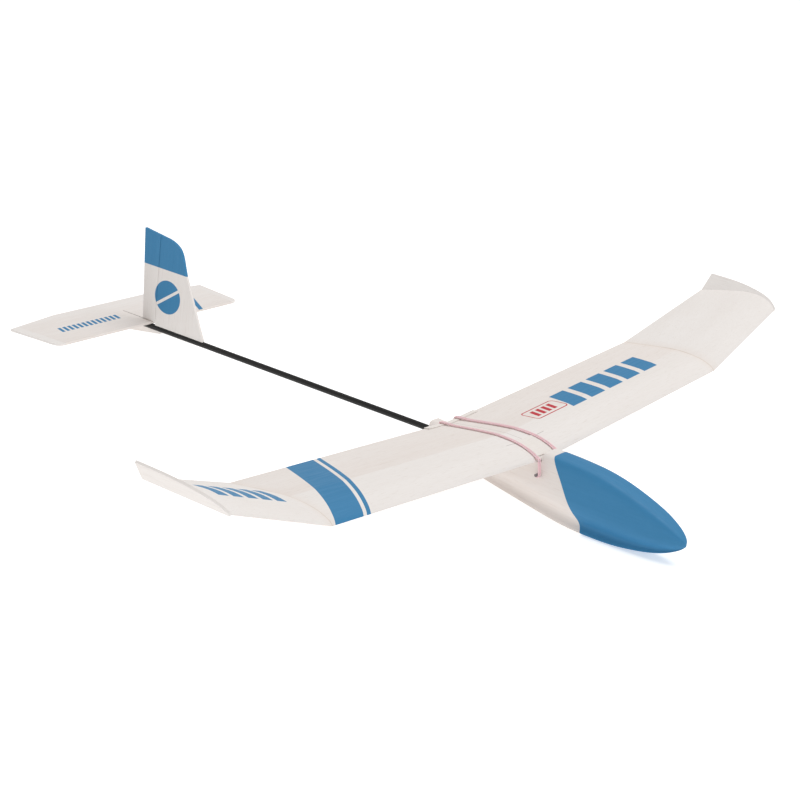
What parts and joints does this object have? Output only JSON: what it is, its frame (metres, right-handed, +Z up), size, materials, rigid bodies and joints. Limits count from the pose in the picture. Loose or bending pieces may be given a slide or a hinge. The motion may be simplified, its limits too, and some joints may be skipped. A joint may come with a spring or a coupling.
{
  "type": "balsa hand glider",
  "caption": "Hand-launched balsa glider: rounded pod, carbon boom, polyhedral two-sheet wing with upturned tips held by rubber bands, flat tailplane and bendable rudder.",
  "frame": {"origin": "middle of the bounding box's footprint, on the ground plane under the keel of the pod", "axes": "+X toward the nose, +Y toward the left wing tip, +Z up; the glider is level in this frame"},
  "size_m": [0.625, 0.7806, 0.1245],
  "materials": {
    "balsa_block": "sanded",
    "balsa_front": "sanded",
    "balsa_rear": "sanded",
    "balsa_tail": "sanded",
    "ply": "sanded",
    "carbon": "satin",
    "pin_dowel": "sanded",
    "rubber_pink": "matte",
    "lead": "cast"
  },
  "bodies": {
    "airframe": {"pod_body": "balsa_block", "nose_ballast": "lead", "ballast_plug": "balsa_block", "boom_tube": "carbon", "front_band_pin": "pin_dowel", "rear_band_pin": "pin_dowel", "rubber_band_left": "rubber_pink", "rubber_band_right": "rubber_pink", "wing_front_sheet_left": "balsa_front", "wing_front_sheet_right": "balsa_front", "wing_rear_sheet_left": "balsa_rear", "wing_rear_sheet_right": "balsa_rear", "wing_tip_panel_left": "balsa_front", "wing_tip_panel_right": "balsa_front", "winglet_left": "balsa_tail", "winglet_right": "balsa_tail", "break_rib_left": "balsa_rear", "break_rib_right": "balsa_rear", "wing_saddle": "balsa_block", "leading_edge_guard": "ply", "trailing_edge_guard": "ply", "stabiliser": "balsa_tail", "stab_tip_left": "balsa_tail", "stab_tip_right": "balsa_tail", "fin": "balsa_tail", "ventral_skid": "balsa_tail"},
    "rudder": {"rudder_tab": "balsa_tail"}
  },
  "joints": [
    {"name": "rudder_trim", "type": "hinge", "parent": "airframe", "child": "rudder", "pos_m": [-0.24555, 0, 0.08], "axis": [0, 0, 1], "range_deg": [-15, 15]}
  ]
}
